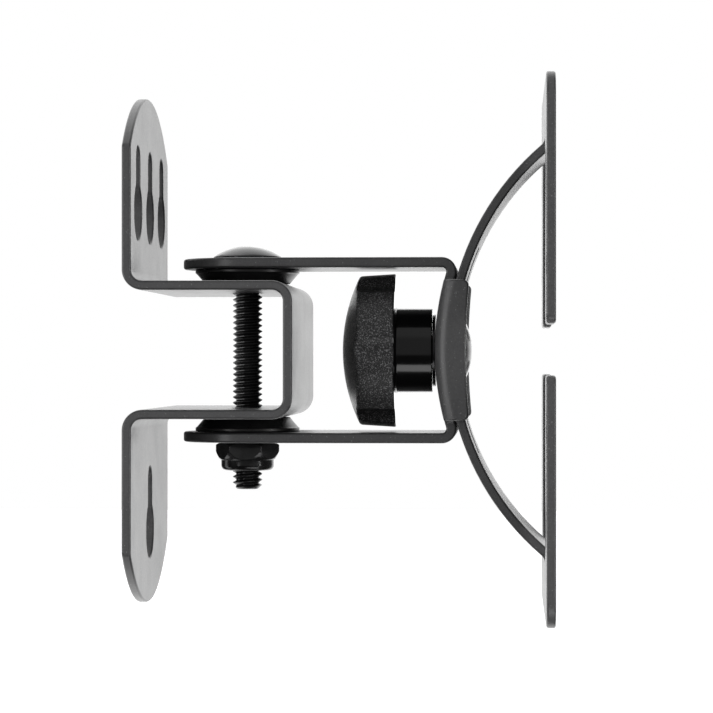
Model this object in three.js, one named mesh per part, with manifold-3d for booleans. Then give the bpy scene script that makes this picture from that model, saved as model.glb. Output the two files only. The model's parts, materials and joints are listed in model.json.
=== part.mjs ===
// Tilt and swivel wall bracket for a small flat screen, in millimetres.
//
// X points away from the wall, Y across, Z up. The origin is on the wall, in the middle of the
// wall plate and level with the clamp knob. The wall plate holds an upright pivot bolt, the swivel
// arm turns on it, and the screen bracket slides on its curved band in the arm's front channel,
// which tilts the screen. A knob on a second bolt clamps the band.

import * as THREE from 'three';
import { mergeVertices } from 'three/addons/utils/BufferGeometryUtils.js';
import Module from 'manifold-3d';

const wasm = await Module();
wasm.setup();

// ---- driving dimensions -------------------------------------------------------------------

const SHEET = 2;
const BEND_R = 3.4;

const WALL_WIDTH = 63;
const WALL_HALF_HEIGHT = 56;
const WALL_END_R = 46;
const WALL_SHOULDER_R = 1.5;
const BOX_HALF_HEIGHT = 14.7;
const BOX_FRONT_X = 36.3;
const KEYHOLE_R = 6.3;
const KEYHOLE_SLOT_R = 3.25;
const KEYHOLE_DROP = 11;
const KEYHOLE_PITCH = 19.6;
const UPPER_KEYHOLE_Z = 30;
const LOWER_KEYHOLE_Z = -40;

const PIVOT_X = 23.85;
const ARM_SHEET = 2.25;
const ARM_WIDTH = 28.4;
const ARM_HALF_HEIGHT = 20.25;
const BOLT_HOLE_R = 3.6;
const SQUARE_HOLE = 7.2;

const TILT_X = 126.8;
const TILT_LIMIT = 20;
const BAND_OUTER_R = 58.2;
const BAND_WIDTH = 35.2;
const BAND_GAP = 0.3;
const WEB_HALF_ANGLE = 16;
const CHANNEL_WIDTH = 40.5;
const CHANNEL_HALF_HEIGHT = 15.2;
const CHANNEL_FRONT_X = 73.6;
const CHANNEL_FRONT_SAG = 0.8;
const CHANNEL_BEND_R = 3;
const CHANNEL_CORNER_R = 1.5;

const SCREEN_WIDTH = 85;
const SCREEN_HALF_HEIGHT = 58;
const SCREEN_BACK_X = 89.8;
const SCREEN_CORNER_R = 6;
const LEG_INNER_Y = 20.8;
const LEG_END_Z = 5.4;
const LEG_CORNER_R = 2;
const SLIT_END_Z = 48.3;
const SCREW_HOLE_R = 2.5;
const SCREW_HALF_WIDTH = 37.5;
const SCREW_HALF_HEIGHTS = [37.5, 17.5];

const BOLT_R = 3.3;
const HEAD_R = 7.6;
const HEAD_HEIGHT = 2.9;
const HEAD_RIM = 0.4;
const NECK = 6.6;
const NECK_LENGTH = 2;
const CLAMP_HEAD_HEIGHT = 2.7;

const CONE_WIDE_R = 11.6;
const CONE_NARROW_R = 9.4;
const CONE_LIP = 0.7;

const NUT_ACROSS_FLATS = 12.5;
const NUT_HEX_HEIGHT = 4;
const NUT_HEIGHT = 6.3;
const NUT_COLLAR_R = 5.9;
const PIVOT_TAIL_Z = -30.8;

const KNOB_R = 17;
const KNOB_FRONT_R = 16.5;
const KNOB_APEX_X = 45.2;
const KNOB_FRONT_X = 49.1;
const KNOB_BACK_X = 57.1;
const HUB_R = 9.35;
const HUB_END_X = 65.15;
const FLUTES = 6;
const FLUTE_R = 4.6;
const FLUTE_DEPTH = 1.5;
const INSERT_R = 5;
const INSERT_FRONT_X = 52;
const CLAMP_BOLT_END_X = 50;
const WASHER_R = 8;
const WASHER_THICKNESS = 0.6;

// Play between touching pieces.
const PLAY = 0.1;
const BORE_PLAY = 0.3;

// Facets: degrees per step on bends and on the tilt arc, and sides of a full circle.
const BEND_STEP = 12;
const ARC_STEP = 3;
const ROUND = 36;
const TURN = 2 * Math.PI;

// ---- solids -------------------------------------------------------------------------------

function toSolid(geometry) {
  const bare = geometry.index ? geometry.toNonIndexed() : geometry.clone();
  bare.deleteAttribute('normal');
  bare.deleteAttribute('uv');
  const merged = mergeVertices(bare, 1e-4);
  const corners = merged.index.array;
  const triangles = [];
  for (let i = 0; i < corners.length; i += 3) {
    const [a, b, c] = [corners[i], corners[i + 1], corners[i + 2]];
    if (a !== b && b !== c && c !== a) triangles.push(a, b, c);
  }
  return new wasm.Manifold(new wasm.Mesh({
    numProp: 3,
    vertProperties: new Float32Array(merged.attributes.position.array),
    triVerts: new Uint32Array(triangles),
  }));
}

function toGeometry(solid) {
  const mesh = solid.getMesh();
  const geometry = new THREE.BufferGeometry();
  geometry.setAttribute('position', new THREE.BufferAttribute(mesh.vertProperties, 3));
  geometry.setIndex(new THREE.BufferAttribute(mesh.triVerts, 1));
  const flat = geometry.toNonIndexed();
  flat.computeVertexNormals();
  return flat;
}

function cutAll(solid, tools) {
  return tools.reduce((rest, tool) => rest.subtract(tool), solid);
}

// ---- extrusions: an outline drawn in one plane and pushed out along the third axis ----------

const FRAMES = {
  x: new THREE.Matrix4().makeBasis(
    new THREE.Vector3(0, 1, 0), new THREE.Vector3(0, 0, 1), new THREE.Vector3(1, 0, 0)),
  y: new THREE.Matrix4().makeBasis(
    new THREE.Vector3(1, 0, 0), new THREE.Vector3(0, 0, 1), new THREE.Vector3(0, -1, 0)),
  z: new THREE.Matrix4(),
};

// An outline in YZ pushed along X, in XZ pushed along Y or in XY pushed along Z, from low to high.
function push(outline, axis, low, high, curveSegments = 6) {
  const geometry = new THREE.ExtrudeGeometry(outline, {
    depth: high - low, bevelEnabled: false, curveSegments });
  geometry.translate(0, 0, axis === 'y' ? -high : low);
  return geometry.applyMatrix4(FRAMES[axis]);
}

function pushed(outline, axis, low, high, curveSegments) {
  return toSolid(push(outline, axis, low, high, curveSegments));
}

function rectangle(left, bottom, right, top) {
  return new THREE.Shape([
    new THREE.Vector2(left, bottom), new THREE.Vector2(right, bottom),
    new THREE.Vector2(right, top), new THREE.Vector2(left, top)]);
}

function disc(x, y, radius) {
  return new THREE.Shape().absarc(x, y, radius, 0, TURN);
}

// A solid of revolution about the Z axis from (radius, height) points that start and end on the
// axis or close on themselves, listed upwards on the outside.
function turned(points, sides = ROUND) {
  const profile = points.map(([radius, height]) => new THREE.Vector2(radius, height));
  return new THREE.LatheGeometry(profile, sides).rotateX(Math.PI / 2);
}

function ring(inner, outer, low, high) {
  return [[inner, low], [outer, low], [outer, high], [inner, high], [inner, low]];
}

// ---- sheet metal --------------------------------------------------------------------------

// Walks the centre line of a bent strip in the XZ plane. Each step is a straight run or a turn in
// degrees, positive to the left, on a radius. Gives the points with their left-hand normals.
function walk(x, z, heading, steps) {
  let angle = THREE.MathUtils.degToRad(heading);
  const line = [];
  const mark = () => line.push({ x, z, nx: -Math.sin(angle), nz: Math.cos(angle) });
  mark();
  for (const { run, turn, radius, facet = BEND_STEP } of steps) {
    if (run) {
      x += run * Math.cos(angle);
      z += run * Math.sin(angle);
      mark();
      continue;
    }
    const side = Math.sign(turn) * radius;
    const centre = { x: x - side * Math.sin(angle), z: z + side * Math.cos(angle) };
    const count = Math.round(Math.abs(turn) / facet);
    for (let i = 0; i < count; i += 1) {
      angle += THREE.MathUtils.degToRad(turn / count);
      x = centre.x + side * Math.sin(angle);
      z = centre.z - side * Math.cos(angle);
      mark();
    }
  }
  return line;
}

function ribbon(line, thickness = SHEET) {
  const side = (sign) => line.map(({ x, z, nx, nz }) => new THREE.Vector2(
    x + sign * nx * thickness / 2, z + sign * nz * thickness / 2));
  return new THREE.Shape([...side(-1), ...side(1).reverse()]);
}

// ---- wall plate ---------------------------------------------------------------------------

// The plate seen from the front: straight sides, and ends on a large arc with softened shoulders.
function wallOutline() {
  const half = WALL_WIDTH / 2;
  const centreZ = WALL_HALF_HEIGHT - WALL_END_R;
  const inset = half - WALL_SHOULDER_R;
  const reach = WALL_END_R - WALL_SHOULDER_R;
  const shoulderZ = centreZ + Math.sqrt(reach ** 2 - inset ** 2);
  const start = Math.asin((shoulderZ - centreZ) / reach);
  const outline = new THREE.Shape();
  outline.absarc(inset, shoulderZ, WALL_SHOULDER_R, 0, start);
  outline.absarc(0, centreZ, WALL_END_R, start, Math.PI - start);
  outline.absarc(-inset, shoulderZ, WALL_SHOULDER_R, Math.PI - start, Math.PI);
  outline.absarc(-inset, -shoulderZ, WALL_SHOULDER_R, Math.PI, Math.PI + start);
  outline.absarc(0, -centreZ, WALL_END_R, Math.PI + start, TURN - start);
  outline.absarc(inset, -shoulderZ, WALL_SHOULDER_R, TURN - start, TURN);
  return outline;
}

// A keyhole: a round mouth with a slot above it that the screw's neck drops into.
function keyhole(y, z) {
  const mouth = Math.asin(KEYHOLE_SLOT_R / KEYHOLE_R);
  const outline = new THREE.Shape();
  outline.absarc(y, z, KEYHOLE_R, Math.PI / 2 + mouth, TURN + Math.PI / 2 - mouth);
  outline.absarc(y, z + KEYHOLE_DROP, KEYHOLE_SLOT_R, 0, Math.PI);
  return outline;
}

function wallPlate() {
  const earRun = WALL_HALF_HEIGHT - (BOX_HALF_HEIGHT - SHEET / 2) - BEND_R;
  const flangeRun = BOX_FRONT_X - SHEET - 2 * BEND_R;
  const webRun = 2 * (BOX_HALF_HEIGHT - SHEET / 2 - BEND_R);
  const profile = ribbon(walk(SHEET / 2, WALL_HALF_HEIGHT, -90, [
    { run: earRun },
    { turn: 90, radius: BEND_R },
    { run: flangeRun },
    { turn: -90, radius: BEND_R },
    { run: webRun },
    { turn: -90, radius: BEND_R },
    { run: flangeRun },
    { turn: 90, radius: BEND_R },
    { run: earRun },
  ]));
  const half = WALL_WIDTH / 2 + 1;
  const body = pushed(profile, 'y', -half, half)
    .intersect(pushed(wallOutline(), 'x', -1, BOX_FRONT_X + 1, 12));
  const keyholes = [
    ...[-KEYHOLE_PITCH, 0, KEYHOLE_PITCH].map((y) => [y, UPPER_KEYHOLE_Z]),
    [0, LOWER_KEYHOLE_Z],
  ].map(([y, z]) => pushed(keyhole(y, z), 'x', -1, SHEET + 1, 14));
  const pivotHole = pushed(
    disc(PIVOT_X, 0, BOLT_HOLE_R), 'z', -BOX_HALF_HEIGHT - 1, BOX_HALF_HEIGHT + 1, ROUND);
  return toGeometry(cutAll(body, [...keyholes, pivotHole]));
}

// ---- swivel arm, in a frame whose origin is on the pivot axis --------------------------------

const TILT_FROM_PIVOT = TILT_X - PIVOT_X;
const WEB_INNER_R = BAND_OUTER_R + BAND_GAP;
const WEB_OUTER_R = WEB_INNER_R + ARM_SHEET;

// The strip: out along the top, down the front web on an arc about the tilt axis, and back.
function armStrip() {
  const webR = WEB_INNER_R + ARM_SHEET / 2;
  const stripZ = ARM_HALF_HEIGHT - ARM_SHEET / 2;
  const lean = THREE.MathUtils.degToRad(WEB_HALF_ANGLE);
  const bendR = (stripZ - webR * Math.sin(lean)) / (1 + Math.sin(lean));
  const bendX = TILT_FROM_PIVOT - (webR + bendR) * Math.cos(lean);
  const run = bendX + ARM_WIDTH;
  const line = walk(-ARM_WIDTH, stripZ, 0, [
    { run },
    { turn: -90 - WEB_HALF_ANGLE, radius: bendR, facet: 10 },
    { turn: 2 * WEB_HALF_ANGLE, radius: webR, facet: ARC_STEP },
    { turn: -90 - WEB_HALF_ANGLE, radius: bendR, facet: 10 },
    { run },
  ]);
  const plan = new THREE.Shape();
  plan.absarc(0, 0, ARM_WIDTH / 2, Math.PI / 2, 1.5 * Math.PI);
  plan.lineTo(TILT_FROM_PIVOT, -ARM_WIDTH / 2);
  plan.lineTo(TILT_FROM_PIVOT, ARM_WIDTH / 2);
  return pushed(ribbon(line, ARM_SHEET), 'y', -ARM_WIDTH, ARM_WIDTH)
    .intersect(pushed(plan, 'z', -ARM_HALF_HEIGHT - 1, ARM_HALF_HEIGHT + 1, 24));
}

// The channel: a C section swept round the tilt axis, its front edges a little hollow and rounded
// at the corners.
function armChannel() {
  const half = CHANNEL_WIDTH / 2;
  const bendY = half - CHANNEL_BEND_R;
  const bendAt = WEB_OUTER_R - CHANNEL_BEND_R;
  const section = new THREE.Shape();
  section.moveTo(50, -half);
  section.absarc(bendAt, -bendY, CHANNEL_BEND_R, -Math.PI / 2, 0);
  section.absarc(bendAt, bendY, CHANNEL_BEND_R, 0, Math.PI / 2);
  section.lineTo(50, half);
  section.lineTo(50, half - ARM_SHEET);
  section.absarc(bendAt, bendY, CHANNEL_BEND_R - ARM_SHEET, Math.PI / 2, 0, true);
  section.absarc(bendAt, -bendY, CHANNEL_BEND_R - ARM_SHEET, 0, -Math.PI / 2, true);
  section.lineTo(50, -half + ARM_SHEET);
  section.closePath();
  const swept = new THREE.LatheGeometry(section.getPoints(5), 360 / ARC_STEP)
    .rotateY(THREE.MathUtils.degToRad(ARC_STEP / 2))
    .translate(TILT_FROM_PIVOT, 0, 0);
  const side = new THREE.Shape();
  const front = CHANNEL_FRONT_X - PIVOT_X;
  const cornerX = front - CHANNEL_CORNER_R;
  const cornerZ = CHANNEL_HALF_HEIGHT - CHANNEL_CORNER_R;
  side.moveTo(front - 20, -CHANNEL_HALF_HEIGHT);
  side.absarc(cornerX, -cornerZ, CHANNEL_CORNER_R, -Math.PI / 2, 0);
  side.quadraticCurveTo(front - 2 * CHANNEL_FRONT_SAG, 0, front, cornerZ);
  side.absarc(cornerX, cornerZ, CHANNEL_CORNER_R, 0, Math.PI / 2);
  side.lineTo(front - 20, CHANNEL_HALF_HEIGHT);
  return toSolid(swept).intersect(pushed(side, 'y', -CHANNEL_WIDTH, CHANNEL_WIDTH));
}

function swivelArm() {
  const halfSquare = SQUARE_HOLE / 2;
  const squareHole = pushed(rectangle(-halfSquare, -halfSquare, halfSquare, halfSquare),
    'z', 0, ARM_HALF_HEIGHT + 1);
  const roundHole = pushed(disc(0, 0, BOLT_HOLE_R), 'z', -ARM_HALF_HEIGHT - 1, 0, ROUND);
  const clampHole = pushed(disc(0, 0, BOLT_HOLE_R), 'x',
    KNOB_BACK_X - PIVOT_X, CHANNEL_FRONT_X - PIVOT_X, ROUND);
  return toGeometry(cutAll(armStrip().add(armChannel()), [squareHole, roundHole, clampHole]));
}

// ---- screen bracket, in a frame whose origin is on the tilt axis ------------------------------

const BAND_R = BAND_OUTER_R - SHEET / 2;
const PLATE_X = SCREEN_BACK_X + SHEET / 2 - TILT_X;

// Where the band leaves the plate: its bend touches both the plate and the arc.
const BAND_BEND_Z = Math.sqrt((BAND_R + BEND_R) ** 2 - (PLATE_X - BEND_R) ** 2);

// One half of the plate: a crossbar with a leg on each side of the band.
function plateHalf() {
  const half = SCREEN_WIDTH / 2;
  const slitR = (LEG_INNER_Y - BAND_WIDTH / 2) / 2;
  const slitY = LEG_INNER_Y - slitR;
  const outline = new THREE.Shape();
  const corner = (y, z, radius, from, to, clockwise) => outline.absarc(
    y, z, radius, from * Math.PI / 2, to * Math.PI / 2, clockwise);
  corner(half - SCREEN_CORNER_R, SCREEN_HALF_HEIGHT - SCREEN_CORNER_R, SCREEN_CORNER_R, 0, 1);
  corner(-half + SCREEN_CORNER_R, SCREEN_HALF_HEIGHT - SCREEN_CORNER_R, SCREEN_CORNER_R, 1, 2);
  corner(-half + LEG_CORNER_R, LEG_END_Z + LEG_CORNER_R, LEG_CORNER_R, 2, 3);
  corner(-LEG_INNER_Y - LEG_CORNER_R, LEG_END_Z + LEG_CORNER_R, LEG_CORNER_R, 3, 4);
  corner(-slitY, SLIT_END_Z, slitR, 2, 0, true);
  outline.lineTo(-BAND_WIDTH / 2, BAND_BEND_Z);
  outline.lineTo(BAND_WIDTH / 2, BAND_BEND_Z);
  corner(slitY, SLIT_END_Z, slitR, 2, 0, true);
  corner(LEG_INNER_Y + LEG_CORNER_R, LEG_END_Z + LEG_CORNER_R, LEG_CORNER_R, 2, 3);
  corner(half - LEG_CORNER_R, LEG_END_Z + LEG_CORNER_R, LEG_CORNER_R, 3, 4);
  for (const side of [-1, 1]) {
    for (const height of SCREW_HALF_HEIGHTS) {
      outline.holes.push(disc(side * SCREW_HALF_WIDTH, height, SCREW_HOLE_R));
    }
  }
  return push(outline, 'x', PLATE_X - SHEET / 2, PLATE_X + SHEET / 2);
}

function band() {
  const lean = THREE.MathUtils.radToDeg(Math.asin(BAND_BEND_Z / (BAND_R + BEND_R)));
  const lap = 1;
  return pushed(ribbon(walk(PLATE_X, BAND_BEND_Z + lap, -90, [
    { run: lap },
    { turn: -lean, radius: BEND_R },
    { turn: 2 * lean, radius: BAND_R, facet: ARC_STEP },
    { turn: -lean, radius: BEND_R },
    { run: lap },
  ])), 'y', -BAND_WIDTH / 2, BAND_WIDTH / 2);
}

// The slot lets the square neck of the clamp bolt pass through the whole tilt.
function bandSlot() {
  const reach = THREE.MathUtils.degToRad(TILT_LIMIT)
    + (SQUARE_HOLE / 2 + BORE_PLAY) / (BAND_R - SHEET / 2);
  const wedge = new THREE.Shape();
  wedge.absarc(0, 0, BAND_R - 5, Math.PI - reach, Math.PI + reach);
  wedge.absarc(0, 0, BAND_R + 5, Math.PI + reach, Math.PI - reach, true);
  return pushed(wedge, 'y', -SQUARE_HOLE / 2, SQUARE_HOLE / 2, 8);
}

function screenBracket() {
  const upper = toSolid(plateHalf());
  const lower = toSolid(plateHalf().rotateX(Math.PI));
  return toGeometry(upper.add(lower).add(band()).subtract(bandSlot()));
}

// ---- bolts, washers, nut: each stands on the Z axis -------------------------------------------

// A carriage bolt: domed head above Z = 0, square neck and shank below.
function carriageBolt(length, headHeight) {
  const rise = headHeight - HEAD_RIM;
  const domeR = (HEAD_R ** 2 + rise ** 2) / (2 * rise);
  const reach = Math.asin(HEAD_R / domeR);
  const dome = [];
  for (let i = 0; i <= 6; i += 1) {
    const angle = reach * (1 - i / 6);
    dome.push([i === 6 ? 0 : domeR * Math.sin(angle), headHeight - domeR * (1 - Math.cos(angle))]);
  }
  const chamfer = 0.8;
  const body = toSolid(turned([
    [0, -length], [BOLT_R - chamfer, -length], [BOLT_R, chamfer - length],
    [BOLT_R, 0], [HEAD_R, 0], ...dome]));
  const neck = pushed(rectangle(-NECK / 2, -NECK / 2, NECK / 2, NECK / 2),
    'z', -NECK_LENGTH, HEAD_RIM / 2);
  return toGeometry(body.add(neck));
}

// A conical friction washer, wide side up.
function coneWasher(height) {
  return turned([
    [BOLT_HOLE_R, 0], [CONE_NARROW_R, 0], [(CONE_NARROW_R + CONE_WIDE_R) / 2 + 0.3, height / 2],
    [CONE_WIDE_R, height - CONE_LIP], [CONE_WIDE_R, height], [BOLT_HOLE_R, height],
    [BOLT_HOLE_R, 0]]);
}

// The nut, with its collar downwards from Z = 0. The cavity in the collar holds the nylon ring.
function lockNut() {
  const cornerR = NUT_ACROSS_FLATS / Math.sqrt(3);
  const flatR = NUT_ACROSS_FLATS / 2;
  const hexagon = new THREE.Shape();
  for (let i = 0; i < 6; i += 1) {
    const angle = i * Math.PI / 3;
    hexagon[i ? 'lineTo' : 'moveTo'](cornerR * Math.cos(angle), cornerR * Math.sin(angle));
  }
  const chamfer = cornerR - flatR;
  const envelope = toSolid(turned([
    [0, -NUT_HEX_HEIGHT], [flatR, -NUT_HEX_HEIGHT], [cornerR, chamfer - NUT_HEX_HEIGHT],
    [cornerR, -chamfer / 3], [cornerR - chamfer / 2, 0], [0, 0]]));
  const collar = toSolid(turned([
    [0, -NUT_HEIGHT], [NUT_COLLAR_R - 0.8, -NUT_HEIGHT], [NUT_COLLAR_R, 0.8 - NUT_HEIGHT],
    [NUT_COLLAR_R, -NUT_HEX_HEIGHT / 2], [0, -NUT_HEX_HEIGHT / 2]]));
  const bore = toSolid(turned([
    [0, -NUT_HEIGHT - 1], [NUT_COLLAR_R - 1, -NUT_HEIGHT - 1], [NUT_COLLAR_R - 1, -NUT_HEX_HEIGHT],
    [BOLT_HOLE_R, -NUT_HEX_HEIGHT], [BOLT_HOLE_R, 1], [0, 1]]));
  return toGeometry(pushed(hexagon, 'z', -NUT_HEX_HEIGHT, 0)
    .intersect(envelope).add(collar).subtract(bore));
}

function nutRing() {
  return turned(ring(BOLT_HOLE_R, NUT_COLLAR_R - 1 - BORE_PLAY,
    PLAY * 2 - NUT_HEIGHT, -NUT_HEX_HEIGHT - PLAY * 2));
}

// ---- clamp knob, in a frame whose Z axis points from the arm's web back towards the wall --------

const WEB_FACE_X = TILT_X - WEB_OUTER_R;
const back = (x) => WEB_FACE_X - x;

function knobBody() {
  const sag = KNOB_FRONT_X - KNOB_APEX_X;
  const domeR = (KNOB_FRONT_R ** 2 + sag ** 2) / (2 * sag);
  const reach = Math.asin(KNOB_FRONT_R / domeR);
  const dome = [];
  for (let i = 0; i <= 6; i += 1) {
    const angle = reach * (1 - i / 6);
    dome.push([i === 6 ? 0 : domeR * Math.sin(angle),
      back(KNOB_APEX_X) - domeR * (1 - Math.cos(angle))]);
  }
  const solid = toSolid(turned([
    [0, back(HUB_END_X)], [HUB_R, back(HUB_END_X)], [HUB_R, back(KNOB_BACK_X)],
    [KNOB_R, back(KNOB_BACK_X)], ...dome], 48));
  const flute = disc(KNOB_R - FLUTE_DEPTH + FLUTE_R, 0, FLUTE_R);
  const flutes = [];
  for (let i = 0; i < FLUTES; i += 1) {
    const cutter = push(flute, 'z', back(KNOB_BACK_X) - 1, back(KNOB_APEX_X) + 1, 28);
    flutes.push(toSolid(cutter.rotateZ((i + 0.5) * TURN / FLUTES)));
  }
  const pocket = toSolid(turned([
    [0, back(HUB_END_X) - 1], [INSERT_R + BORE_PLAY, back(HUB_END_X) - 1],
    [INSERT_R + BORE_PLAY, back(INSERT_FRONT_X) + BORE_PLAY],
    [BOLT_HOLE_R, back(INSERT_FRONT_X) + BORE_PLAY],
    [BOLT_HOLE_R, back(CLAMP_BOLT_END_X) + 1], [0, back(CLAMP_BOLT_END_X) + 1]]));
  return toGeometry(cutAll(solid, [...flutes, pocket]));
}

function knobInsert() {
  return turned(ring(BOLT_HOLE_R, INSERT_R, back(HUB_END_X) + BORE_PLAY, back(INSERT_FRONT_X)));
}

function clampWasher() {
  const low = back(HUB_END_X) - PLAY - WASHER_THICKNESS;
  return turned(ring(BOLT_HOLE_R, WASHER_R, low, low + WASHER_THICKNESS));
}

// ---- the scene graph ------------------------------------------------------------------------

const powderCoat = { color: 0x3c3e40, roughness: 0.5, metalness: 0.2 };
const blackSteel = { color: 0x1b1b1d, roughness: 0.3, metalness: 0.7 };
const blackNylon = { color: 0x0e0e0f, roughness: 0.5, metalness: 0 };
const knobPlastic = { color: 0x151516, roughness: 0.6, metalness: 0 };
const whiteNylon = { color: 0x2a2b2e, roughness: 0.5, metalness: 0 };
const brass = { color: 0xb08d4a, roughness: 0.4, metalness: 1 };

function piece(name, geometry, look, parent) {
  const mesh = new THREE.Mesh(geometry, new THREE.MeshStandardMaterial(look));
  mesh.name = name;
  parent.add(mesh);
  return mesh;
}

const bracket = new THREE.Group();
piece('wall_plate', wallPlate(), powderCoat, bracket);

const arm = new THREE.Group();
arm.position.x = PIVOT_X;
bracket.add(arm);
piece('swivel_arm', swivelArm(), powderCoat, arm);

const headZ = ARM_HALF_HEIGHT + PLAY;
piece('pivot_bolt', carriageBolt(headZ - PIVOT_TAIL_Z, HEAD_HEIGHT), blackSteel, arm)
  .position.z = headZ;

const coneHeight = ARM_HALF_HEIGHT - ARM_SHEET - BOX_HALF_HEIGHT - 2 * PLAY;
piece('pivot_washer_upper', coneWasher(coneHeight), blackNylon, arm)
  .position.z = BOX_HALF_HEIGHT + PLAY;
const lowerWasher = piece('pivot_washer_lower', coneWasher(coneHeight), blackNylon, arm);
lowerWasher.position.z = -BOX_HALF_HEIGHT - PLAY;
lowerWasher.rotation.x = Math.PI;

piece('lock_nut', lockNut(), blackSteel, arm).position.z = -ARM_HALF_HEIGHT - PLAY;
piece('lock_nut_ring', nutRing(), whiteNylon, arm).position.z = -ARM_HALF_HEIGHT - PLAY;

const clamp = new THREE.Group();
clamp.position.x = WEB_FACE_X - PIVOT_X;
clamp.rotation.y = -Math.PI / 2;
arm.add(clamp);
piece('clamp_washer', clampWasher(), blackSteel, clamp);
piece('clamp_knob', knobBody(), knobPlastic, clamp);
piece('knob_insert', knobInsert(), brass, clamp);

// The flat underside of the head rests on the two high lines of the hollow side of the band.
const bandInnerR = BAND_OUTER_R - SHEET;
const clampHeadX = TILT_X - Math.sqrt(bandInnerR ** 2 - HEAD_R ** 2) + PLAY;
const clampBolt = piece('clamp_bolt',
  carriageBolt(clampHeadX - CLAMP_BOLT_END_X, CLAMP_HEAD_HEIGHT), blackSteel, arm);
clampBolt.position.x = clampHeadX - PIVOT_X;
clampBolt.rotation.y = Math.PI / 2;

const screen = new THREE.Group();
screen.position.x = TILT_X - PIVOT_X;
arm.add(screen);
piece('screen_bracket', screenBracket(), powderCoat, screen);

export default bracket;
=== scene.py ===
"""Looks of a tilt and swivel wall bracket for a small flat screen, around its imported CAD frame.

The frame is in metres. Shapes are worked out in millimetres and scaled when their mesh is made.
X points away from the wall, Y across and Z up, with the origin on the wall.
"""

import json
import math

import bmesh
import bpy
from mathutils import Matrix, Vector
from mathutils.geometry import tessellate_polygon


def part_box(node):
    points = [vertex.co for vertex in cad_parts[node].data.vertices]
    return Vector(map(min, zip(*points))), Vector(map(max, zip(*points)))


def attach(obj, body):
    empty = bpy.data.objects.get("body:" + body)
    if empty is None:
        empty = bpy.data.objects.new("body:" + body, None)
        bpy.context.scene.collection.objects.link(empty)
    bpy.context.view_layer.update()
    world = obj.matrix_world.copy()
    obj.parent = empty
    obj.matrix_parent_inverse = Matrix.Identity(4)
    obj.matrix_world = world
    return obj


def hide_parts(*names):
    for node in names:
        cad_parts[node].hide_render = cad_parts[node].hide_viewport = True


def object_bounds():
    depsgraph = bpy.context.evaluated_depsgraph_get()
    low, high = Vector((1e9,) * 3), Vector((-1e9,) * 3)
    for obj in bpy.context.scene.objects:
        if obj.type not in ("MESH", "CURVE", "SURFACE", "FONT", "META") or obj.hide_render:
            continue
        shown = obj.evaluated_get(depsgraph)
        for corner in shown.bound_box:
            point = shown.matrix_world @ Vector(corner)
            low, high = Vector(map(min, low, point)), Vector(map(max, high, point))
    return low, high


MM = 0.001

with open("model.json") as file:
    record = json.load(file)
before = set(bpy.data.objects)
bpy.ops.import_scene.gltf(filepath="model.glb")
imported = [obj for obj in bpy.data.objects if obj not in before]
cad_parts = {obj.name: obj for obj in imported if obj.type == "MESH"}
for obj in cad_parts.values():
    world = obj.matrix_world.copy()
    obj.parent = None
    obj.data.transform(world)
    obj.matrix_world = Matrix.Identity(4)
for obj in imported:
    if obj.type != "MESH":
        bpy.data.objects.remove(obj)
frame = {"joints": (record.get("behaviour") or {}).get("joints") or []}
cad_low, cad_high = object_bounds()


def box(node):
    """Lowest and highest corner of a CAD node, in millimetres."""
    low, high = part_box(node)
    return Vector(low) / MM, Vector(high) / MM


def joint_x(name):
    """How far from the wall a joint's axis stands, in millimetres."""
    return next(j for j in frame["joints"] if j["name"] == name)["pos_m"][0] / MM


PIVOT_X = joint_x("swivel")
TILT_X = joint_x("tilt")
WALL_LOW, WALL_HIGH = box("wall_plate")
ARM_LOW, ARM_HIGH = box("swivel_arm")
SCREEN_LOW, SCREEN_HIGH = box("screen_bracket")
PIVOT_LOW, PIVOT_HIGH = box("pivot_bolt")
CLAMP_LOW, CLAMP_HIGH = box("clamp_bolt")
NUT_LOW, NUT_HIGH = box("lock_nut")
RING_LOW, RING_HIGH = box("lock_nut_ring")
KNOB_LOW, KNOB_HIGH = box("clamp_knob")
INSERT_LOW, INSERT_HIGH = box("knob_insert")

# ---- sizes that the boxes don't give, in millimetres --------------------------------------------

PLAY = 0.1
BORE_PLAY = 0.3
FINE_SIDES = 288

SHEET = 2.0
BEND_R = 3.4
SHEET_EDGE_R = 0.5
HOLE_EDGE_R = 0.42

WALL_END_R = 46.0
WALL_SHOULDER_R = 1.4
BOX_HALF_HEIGHT = 14.7
KEYHOLE_R = 6.3
KEYHOLE_SLOT_R = 3.25
KEYHOLE_NECK_R = 1.6
KEYHOLE_DROP = 11.0
KEYHOLE_PITCH = 19.6
UPPER_KEYHOLE_Z = 30.0
LOWER_KEYHOLE_Z = -40.0
BOLT_HOLE_R = 3.6
SQUARE_HOLE = 7.2

ARM_SHEET = 2.25
ARM_HALF_WIDTH = PIVOT_X - ARM_LOW.x
WEB_HALF_ANGLE = 16.0
BAND_GAP = 0.3
CHANNEL_HALF_HEIGHT = 15.2
CHANNEL_BEND_R = 1.875
CHANNEL_FRONT_SAG = 0.8
CHANNEL_CORNER_R = 1.3
CHANNEL_ROOT_R = 0.8

BAND_HALF_WIDTH = 17.6
SCREEN_CORNER_R = 6.0
LEG_INNER_Y = 20.8
LEG_END_Z = 5.4
LEG_CORNER_R = 2.0
SLIT_ROOT_Z = 49.9
SLOT_HALF_ANGLE = 23.976
SLOT_CORNER_R = 1.0
SCREW_HOLE_R = 2.5
SCREW_HALF_WIDTH = 37.5
SCREW_HALF_HEIGHTS = (37.5, 17.5)

BOLT_R = 3.3
THREAD_PITCH = 1.27
THREAD_DEPTH = 0.72
HEAD_R = 7.6
HEAD_RIM = 0.5
HEAD_LIFT = 0.1
CLAMP_HEAD_HEIGHT = 2.7
NECK = 6.6
NECK_LENGTH = 2.0

CONE_WIDE_R = 11.6
CONE_NARROW_R = 9.4
CONE_LIP = 0.7

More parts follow.
